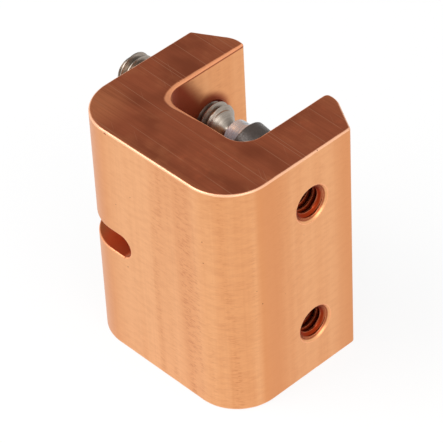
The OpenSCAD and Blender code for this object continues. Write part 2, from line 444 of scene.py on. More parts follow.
@dataclass(frozen=True)
class CopperFinish:
    """Drawn copper with sawn, darkened ends and bright, worn edges, at places in millimetres, with painted shade and
    reflected red in the throat, the slot and the holes, and a painted highlight on the outer rims.
    """

    pale: Colour = colour("f1b27e")
    deep: Colour = colour("dd925c")
    chatter: Colour = colour("b8683c")
    sawn: Colour = colour("c86e4a")
    blotch: Colour = colour("9c4f33")
    warm: Colour = colour("e38c5e")
    scratch: Colour = colour("dd9c78")
    edge: Colour = colour("f0a272")
    # The worn outer rims of both ends, made paler by a painted highlight.
    outer_edge_highlight: Colour = colour("f6bf9a")
    pit: Colour = colour("8a4a2a")
    # Painted shade: the dark red of the throat's corners, the lug holes' countersinks and the tapped threads deep in
    # their holes.
    inside: Colour = colour("8c2d10")
    # Painted reflection and shade: the red laid on the slot's walls.
    slot_reflected_red: Colour = colour("d04818")

    bands: Grain = Grain((0.16, 0.16, 0.006), 0.42, 0.66, 2.0, 0.42)
    die_lines: Grain = Grain((2.2, 2.2, 0.03), 0.40, 0.70, 3.0, 0.06)
    ripple: Grain = Grain((0.30, 0.30, 1.1), 0.38, 0.70, 4.0, 0.14)
    columns: Grain = Grain((0.30, 0.30, 0.012), 0.50, 0.64, 1.0, 0.30)
    dashes: Grain = Grain((0.8, 0.8, 4.4), 0.48, 0.66, 2.0)
    least_chatter: float = 0.10
    front_chatter: Ramp = Ramp(-6.0, 10.0, 0.4, 1.0)
    side_chatter: Ramp = Ramp(19.5, 20.0, 1.0, 0.3)
    pits: Dots = Dots(0.45, 0.02, 0.8)
    arm_face: Ramp = Ramp(19.6, 20.05)
    arm_middle: float = 13.0
    arm_sides: Ramp = Ramp(4.0, 9.5, 0.2, 0.8)
    left_corner: Ramp = Ramp(-17.0, -6.0, 0.85, 0.0)

    marks: Grain = Grain((0.09, 3.0, 3.0), 0.32, 0.72, 4.0, 0.30)
    blotches: Grain = Grain((0.07, 0.10, 0.1), 0.42, 0.70, 2.0, 0.75)
    glow: Grain = Grain((0.12, 0.16, 0.1), 0.50, 0.72, 3.0, 0.40)
    saw_lines: Scratches = Scratches((0.010, 0.31, 0.0), 0.030, 0.36, 0.65)
    strays: Scratches = Scratches((0.16, 0.27, 0.0), 0.020, 0.52, 0.45)
    warm_place: Triple = (-17.5, -3.0, 50.8)
    warm_spot: Ramp = Ramp(2.0, 8.5, 0.9, 0.0)
    spot_marks: float = -0.5
    warm_spine: Ramp = Ramp(-6.5, -5.0, 0.5, 0.0)
    warm_tips: Ramp = Ramp(22.5, 27.0, 0.0, 0.45)
    rim_marks: float = -0.6

    slot_middle: float = 25.4
    slot_centre: float = -8.4
    # Painted reflection and shade on the slot's walls.
    slot_wall: Ramp = Ramp(2.42, 2.60, 1.0, 0.0)
    slot_share: float = 0.5
    inner_face: float = 10.3
    face_room: float = 0.3
    # Painted shade and reflected red in the throat: darker towards its corners and below a slanted line on the inner
    # faces, and a painted shadow around each screw.
    recess: tuple[float, float] = (9.5, 8.0)
    floor_fade: float = 1.8
    corner_fade: Ramp = Ramp(9.0, 12.0, 1.0, 0.0)
    wall_fade: Ramp = Ramp(10.6, 11.3, 1.0, 0.0)
    shade_edge: float = 13.2
    shade_reach: float = 15.5
    shade_slope: float = -0.62
    shade_most: float = 6.0
    shade_fade: Ramp = Ramp(-2.6, 1.2, 0.92, 0.0)
    screw_place: Triple = (17.0, 13.6, 0.0)
    screw_shadow: Ramp = Ramp(4.5, 6.5, 0.9, 0.0)
    crease: Ramp = Ramp(50.0, 50.3, 0.0, 0.8)
    # Painted shade on the countersinks of the lug holes.
    lug_place: Triple = (13.25, 14.15, 0.0)
    mouth: Ramp = Ramp(3.45, 3.65, 1.0, 0.0)
    mouth_share: float = 0.8

    wear: Wear = Wear(0.9, 0.8, 0.75)
    chips: Dots = Dots(1.1, 0.10, 0.84)
    outer_x: Ramp = Ramp(13.5, 14.5)
    outer_y: Ramp = Ramp(3.5, 4.5, 1.0, 0.0)
    by_the_end: Ramp = Ramp(23.5, 24.5)

    roughness: float = 0.36
    sawn_rough: float = 0.08
    worn_rough: float = -0.08
    chatter_rough: float = 0.15
    shade_rough: float = 0.25
    dull: float = -0.5
    dull_shade: float = 0.4
    mark_height: float = 0.3
    chatter_height: float = -0.8
    relief: Relief = Relief(0.3, 0.02 * MM)

    def rise(self, paint: Paint) -> Socket:
        """Returns how far a place is above or below the slot's middle."""
        return paint.math("ABSOLUTE", paint.math("SUBTRACT", paint.parts["Z"], self.slot_middle))

    def away(self, paint: Paint, centre: Triple) -> Socket:
        """Returns how far a place is from a hole's axis, at either level."""
        return paint.vector("DISTANCE", paint.flat(paint.y, self.rise(paint)), centre)

    def sides(self, paint: Paint) -> tuple[Socket, Socket]:
        """Paints the drawn walls.

        Args:
            paint: The copper's graph.

        Returns:
            Their colour and the level of their chatter marks.
        """
        chatter = paint.times(
            paint.grain(self.dashes),
            paint.plus(self.least_chatter, (paint.grain(self.columns), self.columns.share)),
            paint.span(paint.x, *self.front_chatter),
            paint.span(paint.x, *self.side_chatter),
        )
        base = paint.coat(
            self.pale,
            (paint.grain(self.bands), self.bands.share, self.deep),
            (paint.grain(self.die_lines), self.die_lines.share, self.chatter),
            (paint.grain(self.ripple), self.ripple.share, self.chatter),
            (self.shade_bands(paint), 1, self.deep),
            (chatter, 1, self.chatter),
            (paint.dots(self.pits), 1, self.pit),
        )
        return base, chatter

    def shade_bands(self, paint: Paint) -> Socket:
        """Finds the darker upright bands at both sides of each arm's outer face and at the left corner.

        Args:
            paint: The copper's graph.

        Returns:
            Their level.
        """
        off_middle = paint.math("ABSOLUTE", paint.math("SUBTRACT", paint.y, self.arm_middle))
        bands = paint.times(paint.span(paint.aside, *self.arm_face), paint.span(off_middle, *self.arm_sides))
        return paint.most(bands, paint.span(paint.x, *self.left_corner))

    def ends(self, paint: Paint) -> tuple[Socket, Socket]:
        """Paints the sawn ends.

        Args:
            paint: The copper's graph.

        Returns:
            Their colour and the level of their saw marks.
        """
        marks = paint.grain(self.marks)
        spot = paint.span(paint.vector("DISTANCE", paint.place, self.warm_place), *self.warm_spot)
        rims = paint.most(paint.span(paint.y, *self.warm_spine), paint.span(paint.y, *self.warm_tips))
        warm = paint.most(
            paint.times(spot, paint.plus(1.0, (marks, self.spot_marks))),
            paint.times(rims, paint.plus(1.0, (marks, self.rim_marks))),
        )
        base = paint.coat(
            self.sawn,
            (paint.grain(self.blotches), self.blotches.share, self.blotch),
            (paint.grain(self.glow), self.glow.share, self.warm),
            (marks, self.marks.share, self.blotch),
            (warm, 1, self.warm),
            (paint.lines(self.saw_lines), self.saw_lines.share, self.scratch),
            (paint.lines(self.strays), self.strays.share, self.scratch),
        )
        return base, marks

    def throat_shade(self, paint: Paint) -> Socket:
        """Finds the painted shade and reflected red in the throat, towards its corners and as a painted shadow around
        each screw, and a thin dark line below its worn edge.

        Args:
            paint: The copper's graph.

        Returns:
            How much painted shade a place gets.
        """
        middle = (self.recess[0] * self.floor_fade, self.recess[1], 0.0)
        corner = paint.vector("DISTANCE", paint.flat(paint.times(paint.aside, self.floor_fade), paint.y), middle)
        slanted = paint.plus(self.shade_reach, (self.rise(paint), self.shade_slope))
        edge = paint.math("ADD", paint.math("MINIMUM", slanted, self.shade_most), self.shade_edge)
        on_face = paint.math("COMPARE", paint.x, -self.inner_face, self.face_room)
        return paint.most(
            paint.times(
                paint.span(paint.math("SUBTRACT", paint.y, edge), *self.shade_fade),
                paint.span(corner, *self.corner_fade),
                paint.span(paint.aside, *self.wall_fade),
            ),
            paint.times(paint.span(self.away(paint, self.screw_place), *self.screw_shadow), on_face),
            paint.times(paint.span(paint.parts["Z"], *self.crease), on_face),
        )

    def in_mouth(self, paint: Paint) -> Socket:
        """Returns 1 on the countersinks of the lug holes, where shade is painted, and 0 elsewhere."""
        on_arm = paint.math("GREATER_THAN", paint.x, self.inner_face)
        return paint.times(paint.span(self.away(paint, self.lug_place), *self.mouth), on_arm)

    def in_slot(self, paint: Paint) -> Socket:
        """Returns 1 on the walls of the slot, which get painted shade and reflected red, and 0 elsewhere."""
        along = paint.most(paint.math("SUBTRACT", paint.x, self.slot_centre), 0.0)
        return paint.span(paint.vector("LENGTH", paint.flat(along, self.rise(paint))), *self.slot_wall)

    def outside(self, paint: Paint) -> Socket:
        """Returns 1 at the outer edges of both ends, which get a painted highlight, and 0 at the edges of the throat,
        the slot and the holes.
        """
        outer = paint.most(paint.span(paint.aside, *self.outer_x), paint.span(paint.y, *self.outer_y))
        return paint.times(outer, paint.span(self.rise(paint), *self.by_the_end))

    def material(self, effects: Effects) -> Material:
        """Makes the material, which reads the values rim, sawn and deep of its mesh.

        Args:
            effects: The shared effects.

        Returns:
            The material.
        """
        paint = Paint.start("drawn_copper", 1.0, effects)
        side, chatter = self.sides(paint)
        end, marks = self.ends(paint)
        sawn, worn = paint.attribute("sawn"), paint.worn(self.wear)
        # Painted shade in the throat, left off the sawn ends; it also makes the copper rougher and less metallic.
        painted_shade = paint.times(self.throat_shade(paint), paint.math("SUBTRACT", 1.0, sawn))
        # Painted shade on the lug holes' countersinks.
        mouth = paint.times(self.in_mouth(paint), self.mouth_share)
        base = paint.coat(
            side,
            (sawn, 1, end),
            # Painted shade in the dark red inside: deep in the tapped threads, on the countersinks and in the throat.
            (paint.most(paint.attribute("deep"), mouth, painted_shade), 1, self.inside),
            # Painted reflection and shade on the slot's walls.
            (self.in_slot(paint), self.slot_share, self.slot_reflected_red),
            # Worn edges; the outer rims of both ends and the thread crests carry a painted highlight too.
            (worn, self.wear.share, paint.mix(self.outside(paint), self.edge, self.outer_edge_highlight)),
            (paint.times(worn, paint.dots(self.chips)), 1, self.pit),
        )
        rough = paint.plus(
            self.roughness,
            (sawn, self.sawn_rough),
            (worn, self.worn_rough),
            (chatter, self.chatter_rough),
            (painted_shade, self.shade_rough),
        )
        dulled = paint.most(worn, paint.times(painted_shade, self.dull_shade))
        metal = paint.math("MULTIPLY_ADD", dulled, self.dull, 1.0, clamp=True)
        paint.tree.links.new(metal, paint.shader.inputs["Metallic"])
        sunk = paint.times(chatter, self.chatter_height)
        height = paint.plus(sunk, (paint.times(marks, sawn), self.mark_height))
        return paint.finish(base, rough, height, self.relief)


@dataclass(frozen=True)
class SteelFinish:
    """Turned steel with fine rings around its axis and painted shade that darkens its grooves."""

    name: str = "turned_stainless"
    pale: Colour = colour("a89d92")
    ring: Colour = colour("857b70")
    # Painted shade in the thread's grooves.
    groove: Colour = colour("6a5a4c")
    roughness: float = 0.28
    metallic: float = 1.0
    rings: Grain = Grain((6.0, 0.35, 0.35), 0.36, 0.68, 3.0, 0.5)
    smear: Grain = Grain((0.7, 0.7, 0.7), 0.45, 0.75, 3.0, 0.25)
    groove_share: float = 0.35
    wear: Wear = Wear(0.6, 1.5, 0.5)
    ring_rough: float = 0.14
    relief: Relief = Relief(0.25, 0.01 * MM)

    def material(self, effects: Effects) -> Material:
        """Makes the material, which reads the values groove and rim of its mesh.

        Args:
            effects: The shared effects.

        Returns:
            The material.
        """
        paint = Paint.start(self.name, self.metallic, effects)
        rings = paint.grain(self.rings)
        base = paint.coat(
            self.pale,
            (rings, self.rings.share, self.ring),
            (paint.grain(self.smear), self.smear.share, self.ring),
            # Painted shade in the thread's grooves.
            (paint.attribute("groove"), self.groove_share, self.groove),
            (paint.worn(self.wear), self.wear.share, self.pale),
        )
        return paint.finish(base, paint.plus(self.roughness, (rings, self.ring_rough)), rings, self.relief)


@dataclass(frozen=True)
class BlackFinish:
    """Black oxide over steel, a little oily, rubbed grey along its edges."""

    dark: Colour = colour("191412")
    grey: Colour = colour("362d29")
    rubbed: Colour = colour("6e645e")
    metallic: float = 0.35
    cloud: Grain = Grain((0.9, 0.9, 0.9), 0.42, 0.70, 4.0, 0.8)
    speck: Grain = Grain((3.5, 3.5, 3.5), 0.42, 0.66, 3.0, 0.45)
    wear: Wear = Wear(1.0, 1.2, 0.45)
    roughness: float = 0.32
    speck_rough: float = 0.18
    relief: Relief = Relief(0.45, 0.03 * MM)

    def material(self, effects: Effects) -> Material:
        """Makes the material, which reads the value rim of its mesh.

        Args:
            effects: The shared effects.

        Returns:
            The material.
        """
        paint = Paint.start("black_oxide", self.metallic, effects)
        speck = paint.grain(self.speck)
        base = paint.coat(
            self.dark,
            (paint.grain(self.cloud), self.cloud.share, self.grey),
            (speck, self.speck.share, self.grey),
            (paint.worn(self.wear), self.wear.share, self.rubbed),
        )
        return paint.finish(base, paint.plus(self.roughness, (speck, self.speck_rough)), speck, self.relief)


# Mesh tools


def verts_of(geometry: Iterable[Any]) -> list[Vert]:
    """Returns the vertices among the results of an operator."""
    return [v for v in geometry if isinstance(v, Vert)]


@dataclass
class Pen:
    """Draws an outline in a mesh, one straight run or arc after another."""

    mesh: Mesh
    start: Vector
    point: Vert = field(init=False)

    def __post_init__(self) -> None:
        """Sets the pen down at its start."""
        self.point = self.mesh.verts.new(self.start)

    def line(self, end: Vector) -> None:
        """Draws a straight run to a point."""
        self.point = bmesh.ops.extrude_vert_indiv(self.mesh, verts=[self.point])["verts"][0]
        self.point.co = end

    def arc(self, centre: Vector, axis: Vector, angle: float, steps: int) -> None:
        """Draws an arc about an axis through a centre, by an angle in radians."""
        made = bmesh.ops.spin(self.mesh, geom=[self.point], cent=centre, axis=axis, angle=angle, steps=steps)
        self.point = verts_of(made["geom_last"])[0]


@dataclass(frozen=True)
class Lathe:
    """An axis along X that turned pieces are made on."""

    y: float
    z: float
    steps: int = 72

    def at(self, station: float, radius: float) -> Vector:
        """Returns the point at a station along the axis and a radius above it."""
        return Vector((station, self.y, self.z + radius))

    def radius(self, place: Vector) -> float:
        """Returns how far a point is from the axis."""
        return math.hypot(place.y - self.y, place.z - self.z)

    def move(self, vertex: Vert, station: float, radius: float) -> None:
        """Moves a vertex to a station and a radius, at its own angle."""
        factor = radius / max(self.radius(vertex.co), 1e-9)
        vertex.co = (station, self.y + (vertex.co.y - self.y) * factor, self.z + (vertex.co.z - self.z) * factor)

    def outline(self, mesh: Mesh, points: list[tuple[float, float]]) -> Pen:
        """Draws straight runs through points.

        Args:
            mesh: The mesh to draw in.
            points: The stations and radii of the points.

        Returns:
            The pen, at the last point.
        """
        pen = Pen(mesh, self.at(*points[0]))
        for point in points[1:]:
            pen.line(self.at(*point))
        return pen

    def turn(self, mesh: Mesh, rise: float = 0.0) -> None:
        """Spins everything in a mesh one full turn about the axis.

        Args:
            mesh: The mesh.
            rise: How far the turn rises along the axis.
        """
        step = X_AXIS * (rise / self.steps)
        bmesh.ops.spin(
            mesh, geom=mesh.verts[:] + mesh.edges[:], cent=self.at(0, 0), axis=X_AXIS, dvec=step,
            angle=2 * math.pi, steps=self.steps, use_merge=rise == 0,
        )
        clean(mesh)


def clean(mesh: Mesh) -> None:
    """Merges doubled vertices and turns the normals outwards.

    Args:
        mesh: The mesh.
    """
    bmesh.ops.remove_doubles(mesh, verts=mesh.verts, dist=WELD)
    bmesh.ops.dissolve_degenerate(mesh, edges=mesh.edges, dist=WELD)
    bmesh.ops.recalc_face_normals(mesh, faces=mesh.faces)


def join(mesh: Mesh, other: Mesh) -> None:
    """Adds one mesh to another.

    Args:
        mesh: The mesh that takes the other one in.
        other: The mesh that is added and then freed.
    """
    data = bpy.data.meshes.new("joined")
    other.to_mesh(data)
    other.free()
    mesh.from_mesh(data)
    bpy.data.meshes.remove(data)


def close_up(mesh: Mesh) -> None:
    """Joins the two ends of an outline."""
    bmesh.ops.contextual_create(mesh, geom=[v for v in mesh.verts if len(v.link_edges) == 1])


def thicken(mesh: Mesh, along: Vector) -> None:
    """Fills a closed outline and extrudes it into a solid.

    Args:
        mesh: The mesh that holds the outline alone.
        along: How far, and which way, it is extruded.
    """
    bmesh.ops.edgeloop_fill(mesh, edges=mesh.edges)
    made = bmesh.ops.extrude_face_region(mesh, geom=mesh.faces[:])
    bmesh.ops.translate(mesh, verts=verts_of(made["geom"]), vec=along)
    clean(mesh)


def open_loop(mesh: Mesh, station: float) -> list[Edge]:
    """Returns the open edges of a mesh at a station along X."""
    return [e for e in mesh.edges if e.is_boundary and all(abs(v.co.x - station) < CLOSE for v in e.verts)]


def next_ring(mesh: Mesh, loop: list[Edge], place: Callable[[Vert], None]) -> list[Edge]:
    """Extrudes an open loop of edges and places each new vertex.

    Args:
        mesh: The mesh that holds the loop.
        loop: Its edges.
        place: Called with each new vertex, to move it.

    Returns:
        The edges of the new loop.
    """
    made = bmesh.ops.extrude_edge_only(mesh, edges=loop)["geom"]
    fresh = verts_of(made)
    for vertex in fresh:
        place(vertex)
    return [e for e in made if isinstance(e, Edge) and set(e.verts) <= set(fresh)]


def edge_turn(edge: Edge) -> float:
    """Returns the angle in degrees that the surface turns by over an edge."""
    return math.degrees(edge.calc_face_angle(0.0))


def round_corners(mesh: Mesh, width: float, at_least: float = 50) -> None:
    """Rounds off the convex edges of a turned piece and marks them as its rim.

    Args:
        mesh: The mesh.
        width: How far they are rounded off.
        at_least: The angle in degrees that a rounded edge turns by at least.
    """
    rim = mesh.verts.layers.float.new("rim")
    sharp = [e for e in mesh.edges if e.is_convex and edge_turn(e) > at_least]
    made = bmesh.ops.bevel(
        mesh, geom=sharp, offset=width, offset_type="OFFSET", affect="EDGES", segments=4, profile=0.5, material=-1,
    )
    for vertex in made["verts"]:
        vertex[rim] = 1.0
    clean(mesh)


def new_piece(name: str, mesh: Mesh, sharp: float | None = None) -> Piece:
    """Makes an object from a mesh that is then freed.

    Args:
        name: The object's name.
        mesh: Its mesh.
        sharp: The angle in degrees past which an edge stays sharp, or None for flat faces.

    Returns:
        The object.
    """
    data = bpy.data.meshes.new(name)
    mesh.to_mesh(data)
    mesh.free()
    piece = bpy.data.objects.new(name, data)
    bpy.context.scene.collection.objects.link(piece)
    if sharp is not None:
        data.shade_smooth()
        data.set_sharp_from_angle(angle=math.radians(sharp))
    return piece


@contextmanager
def editing(piece: Piece) -> Iterator[Mesh]:
    """Opens a piece's mesh for editing and writes it back.

    Args:
        piece: The piece.

    Yields:
        Its mesh.
    """
    mesh = bmesh.new()
    mesh.from_mesh(piece.data)
    yield mesh
    mesh.to_mesh(piece.data)
    mesh.free()


def settle(piece: Piece) -> None:
    """Turns a piece's modifiers into its mesh.

    Args:
        piece: The piece.
    """
    graph = bpy.context.evaluated_depsgraph_get()
    finished = bpy.data.meshes.new_from_object(piece.evaluated_get(graph))
    old = piece.data
    piece.modifiers.clear()
    piece.data = finished
    bpy.data.meshes.remove(old)
    finished.name = piece.name


def modify(piece: Piece, kind: str, **settings: Any) -> None:
    """Adds a modifier to a piece.

    Args:
        piece: The piece.
        kind: The modifier's type.
        **settings: Values for its properties.
    """
    modifier = piece.modifiers.new(kind.lower(), kind)
    for name, value in settings.items():
        setattr(modifier, name, value)


def fit_out(piece: Piece, body: str, material_slot: str, material: Material, *nodes: str) -> None:
    """Gives a piece its material and its place in the frame, and logs it.

    Args:
        piece: The finished piece.
        body: The body of the frame that it rides on.
        material_slot: The record's slot that its finish comes from; not used.
        material: Its material.
        *nodes: The nodes of the frame that it stands for.
    """
    piece.data.materials.clear()
    piece.data.materials.append(material)
    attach(piece, body)
    if nodes:
        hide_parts(*nodes)
    log.info("%s: %d faces on %s", piece.name, len(piece.data.polygons), body)


# The frame's own planes and axes


@dataclass(frozen=True)
class HoleLine:
    """The two holes of one arm: how far along Y they are, their radius and their heights."""

    y: float
    radius: float
    levels: dict[Level, float]


@dataclass(frozen=True)
class ClampFrame:
    """Planes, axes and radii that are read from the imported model."""

    low: Vector
    high: Vector
    inside: float
    pivot: float
    screw_radius: float
    holes: dict[Arm, HoleLine]
    room: float = 0.05 * MM

    @classmethod
    def read(cls) -> "ClampFrame":
        """Reads the frame's boxes, mounts and joints.

        Returns:
            What was read.
        """
        low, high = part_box("clamp_body")
        mounts = {m["name"]: m for m in frame["record"]["mounts"]}
        joints = {j["name"]: j for j in frame["joints"]}
        tilts = {level: joints[f"{level.value}_pad_tilt"]["pos_m"] for level in Level}
        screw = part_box("upper_clamp_screw")
        screw_radius = (screw[1].z - screw[0].z) / 2
        lugs = mounts["lug_holes"]
        half = lugs["dims"]["spacing_y_mm"] * MM / 2
        lug_levels = {Level.UPPER: lugs["pos_m"][2] + half, Level.LOWER: lugs["pos_m"][2] - half}
        screw_levels = {level: tilts[level][2] for level in Level}
        return cls(
            low=low,
            high=high,
            inside=mounts["flange_jaw"]["pos_m"][0],
            pivot=tilts[Level.UPPER][0],
            screw_radius=screw_radius,
            holes={
                Arm.SCREW: HoleLine(tilts[Level.UPPER][1], screw_radius + cls.room, screw_levels),
                Arm.TAPPED: HoleLine(lugs["pos_m"][1], lugs["dims"]["hole_r_mm"] * MM, lug_levels),
            },
        )

    @property
    def middle(self) -> float:
        """Half the body's height."""
        return (self.low.z + self.high.z) / 2

    def axis(self, arm: Arm, level: Level, steps: int = 72) -> Lathe:
        """Returns the axis of one hole."""
        line = self.holes[arm]
        return Lathe(line.y, line.levels[level], steps)


# Pieces


@dataclass(frozen=True)
class WallPoint:
    """One point of the body's outline in plan, with the way inwards and the size of the rims below and above it."""

    place: Vector
    inward: Vector
    rim: float
    band: float
    fall: float
    curve: float = 1.6

    def at(self, low: float, high: float, above: bool, share: float) -> Vector:
        """Returns a point of a rim.

        Args:
            low: The height of the lower end.
            high: The height of the upper end.
            above: Whether the rim is the upper one.
            share: How far around the rim the point is, from 0 at the wall to 1 at the end.

        Returns:
            The point.
        """
        angle = math.pi / 2 * share
        along, drop = self.rim * (1 - math.cos(angle)), self.rim * (1 - math.sin(angle))
        if above and self.band > self.rim:
            flat = min(1.0, self.band / self.rim - 1)
            along += (self.band - self.rim) * share
            drop += flat * (self.fall * (1 - share) ** self.curve - drop)
        height = high - drop if above else low + drop
        return self.place + self.inward * along + Z_AXIS * height


@dataclass
class ClampBody:
    """The copper body: a C section, sawn off, slotted and bored."""

    sizes: ClampFrame
    arm_reach: float = 29.8 * MM
    corner_radius: float = 9.0 * MM
    corner_steps: int = 24
    throat_radius: float = 4.2 * MM
    throat_steps: int = 14
    nose_radius: float = 5.0 * MM
    nose_drop: float = 0.26 * MM
    tip_radius: dict[Arm, float] = field(default_factory=lambda: {Arm.SCREW: 0.5 * MM, Arm.TAPPED: 1.0 * MM})
    tip_steps: int = 8
    end_radius: float = 0.7 * MM
    end_steps: int = 4
    end_angle: float = math.radians(30)
    slot_width: float = 4.8 * MM
    slot_reach: float = 14.1 * MM
    slot_steps: int = 24
    countersink: float = 0.65 * MM
    rim: float = 0.45 * MM
    band: float = 1.35 * MM
    band_fall: float = 0.50 * MM
    wall_band: float = 0.72
    mouth_loss: float = 0.32
    swell: float = 0.70
    swell_loss: float = 0.42
    swell_from: float = 20
    swell_peak: float = 54
    unevenness: float = 0.10
    uneven_length: float = 1.7 * MM
    rim_steps: int = 5
    facet: float = 1.2 * MM
    slot_rim: float = 0.30 * MM
    hole_rim: float = 0.12 * MM
    least_turn: float = 30
    spare: float = 2.0 * MM
    bore_room: float = 0.03 * MM
    bore_steps: int = 64
    sawn_reach: float = 0.1 * MM
    rim_slope: float = 40
    wall_slope: float = 0.02
    sawn_slopes: tuple[float, float] = (0.4, 0.55)

    def half_outline(self, arm: Arm) -> Mesh:
        """Draws one arm's half of the section in plan, from the spine to the throat.

        Args:
            arm: The arm.

        Returns:
            The open outline.
        """
        s, r, tip, bend = self.sizes, self.corner_radius, self.tip_radius[arm], self.throat_radius
        floor = -s.low.y
        slope = Vector((math.sin(self.end_angle), math.cos(self.end_angle), 0))
        corner = Vector((s.high.x, s.low.y + self.arm_reach, 0))
        half = math.pi / 4 - self.end_angle / 2
        run = self.end_radius * math.tan(half)
        nose_y = s.high.y - self.nose_drop - self.nose_radius
        nose_x = (slope.dot(corner) - self.nose_radius - slope.y * nose_y) / slope.x
        nose = Vector((nose_x, nose_y, 0))
        aside = s.inside + tip - nose_x
        tip_centre = Vector((s.inside + tip, nose_y + math.sqrt((self.nose_radius - tip) ** 2 - aside ** 2), 0))
        bow = math.atan2(tip_centre.y - nose_y, aside) - (math.pi / 2 - self.end_angle)
        mesh = bmesh.new()
        pen = Pen(mesh, Vector((0, s.low.y, 0)))
        pen.line(Vector((s.high.x - r, s.low.y, 0)))
        pen.arc(Vector((s.high.x - r, s.low.y + r, 0)), Z_AXIS, math.pi / 2, self.corner_steps)
        pen.line(Vector((s.high.x, corner.y - run, 0)))
        pen.arc(Vector((s.high.x - self.end_radius, corner.y - run, 0)), Z_AXIS, 2 * half, self.end_steps)
        pen.line(nose + slope * self.nose_radius)
        pen.arc(nose, Z_AXIS, bow, self.tip_steps)
        pen.arc(tip_centre, Z_AXIS, math.pi / 2 + self.end_angle - bow, self.tip_steps)
        pen.line(Vector((s.inside, floor + bend, 0)))
        pen.arc(Vector((s.inside - bend, floor + bend, 0)), Z_AXIS, -math.pi / 2, self.throat_steps)
        pen.line(Vector((0, floor, 0)))
        bmesh.ops.scale(mesh, verts=mesh.verts, vec=(arm.value, 1, 1))
        return mesh

    def outline(self) -> Mesh:
        """Joins the two halves of the section in plan and divides its long runs.

        Returns:
            The closed outline.
        """
        mesh = bmesh.new()
        for arm in Arm:
            join(mesh, self.half_outline(arm))
        bmesh.ops.remove_doubles(mesh, verts=mesh.verts, dist=WELD)
        for edge in [e for e in mesh.edges if e.calc_length() > 2 * self.facet]:
            bmesh.ops.subdivide_edges(mesh, edges=[edge], cuts=int(edge.calc_length() / self.facet))
        return mesh

    def band_share(self, place: Vector) -> float:
        """Finds how wide the worn band is, which is widest at the throat's corner in the screw arm.

        Args:
            place: A point of the outline in plan.

        Returns:
            Its width there, as a share of the band's size.
        """
        s = self.sizes
        floor, mouth = -s.low.y, s.high.y - self.nose_drop - self.tip_radius[Arm.SCREW]
        bend, side = floor + self.throat_radius, self.throat_radius - s.inside
        if abs(place.x) > s.inside + NEAR or place.y < floor - NEAR or place.y > mouth + NEAR:
            return 0.0
        if place.y > bend:
            return self.wall_band - self.mouth_loss * (place.y - bend) / (mouth - bend) if place.x < 0 else 0.0
        if place.x < side:
            turn = math.degrees(math.atan2(bend - place.y, side - place.x))
            gain = unit((turn - self.swell_from) / (self.swell_peak - self.swell_from))
            loss = unit((turn - self.swell_peak) / (90 - self.swell_peak))
            return self.wall_band + self.swell * gain - self.swell_loss * loss
        return max(0.0, 1.0 - (place.x + s.inside - self.throat_radius) / s.inside)

    def walk(self, mesh: Mesh) -> list[WallPoint]:
        """Walks around the outline and numbers its vertices in a layer named order.

        Args:
            mesh: The mesh that holds the outline alone.

        Returns:
            Each vertex's point of the wall, in that order.
        """
        order = mesh.verts.layers.int.new("order")
        mesh.verts.ensure_lookup_table()
        path = [mesh.verts[0], mesh.verts[0].link_edges[0].other_vert(mesh.verts[0])]
        while len(path) < len(mesh.verts):
            path.append(next(v for e in path[-1].link_edges for v in e.verts if v not in path[-2:]))
        area = sum(a.co.x * b.co.y - b.co.x * a.co.y for a, b in zip(path, path[1:] + path[:1]))
        points = []
        for index, vertex in enumerate(path):
            vertex[order] = index
            ahead, behind = path[(index + 1) % len(path)].co, path[index - 1].co
            inward = Z_AXIS.cross(ahead - behind).normalized() * math.copysign(1, area)
            uneven = 1 + self.unevenness * noise.noise(vertex.co / self.uneven_length)
            rim, band = self.rim * uneven, self.band * self.band_share(vertex.co) * uneven
            points.append(WallPoint(vertex.co.copy(), inward, rim, band, self.band_fall))
        return points

    def block(self) -> Mesh:
        """Stacks rings on the outline into a block whose two ends have rounded rims.

        Returns:
            The closed block.
        """
        low, high = self.sizes.low.z, self.sizes.high.z
        mesh = self.outline()
        points = self.walk(mesh)
        order = mesh.verts.layers.int["order"]

        def place(vertex: Vert, above: bool, share: float) -> None:
            """Moves a vertex to its point of a ring."""
            vertex.co = points[vertex[order]].at(low, high, above, share)

        shares = [i / self.rim_steps for i in range(self.rim_steps + 1)]
        rings = [(False, share) for share in reversed(shares)] + [(True, share) for share in shares]
        for vertex in mesh.verts:
            place(vertex, *rings[0])
        loop = mesh.edges[:]
        bmesh.ops.edgeloop_fill(mesh, edges=loop)
        for above, share in rings[1:]:
            loop = next_ring(mesh, loop, partial(place, above=above, share=share))
        bmesh.ops.edgeloop_fill(mesh, edges=loop)
        clean(mesh)
        return mesh

    def cutters(self) -> Mesh:
        """Makes the slot's cutter and those of the four bored and countersunk holes.

        Returns:
            All of them in one mesh.
        """
        s = self.sizes
        outer, back = s.low.x - self.spare, s.low.y - self.spare
        centre = s.low.x + self.slot_reach - self.slot_width / 2
        low, high = s.middle - self.slot_width / 2, s.middle + self.slot_width / 2
        mesh = bmesh.new()
        pen = Pen(mesh, Vector((outer, back, low)))
        pen.line(Vector((centre, back, low)))
        pen.arc(Vector((centre, back, s.middle)), Y_AXIS, -math.pi, self.slot_steps)
        pen.line(Vector((outer, back, high)))
        close_up(mesh)
        thicken(mesh, Y_AXIS * (s.high.y - s.low.y + 2 * self.spare))
        for arm in Arm:
            for level in Level:
                join(mesh, self.bore(arm, level))
        return mesh

    def bore(self, arm: Arm, level: Level) -> Mesh:
        """Makes the cutter of one hole.

        Args:
            arm: The arm that it goes through.
            level: The level that it is at.

        Returns:
            The closed cutter.
        """
        s, side = self.sizes, arm.value
        lathe = s.axis(arm, level, self.bore_steps)
        radius, sink = s.holes[arm].radius + self.bore_room, self.countersink
        hole = bmesh.new()
        lathe.outline(hole, [
            (side * (s.inside - self.spare), 0),
            (side * (s.inside - self.spare), radius),
            (side * (s.high.x - sink), radius),
            (side * (s.high.x + self.spare), radius + sink + self.spare),
            (side * (s.high.x + self.spare), 0),
        ])
        lathe.turn(hole)
        return hole

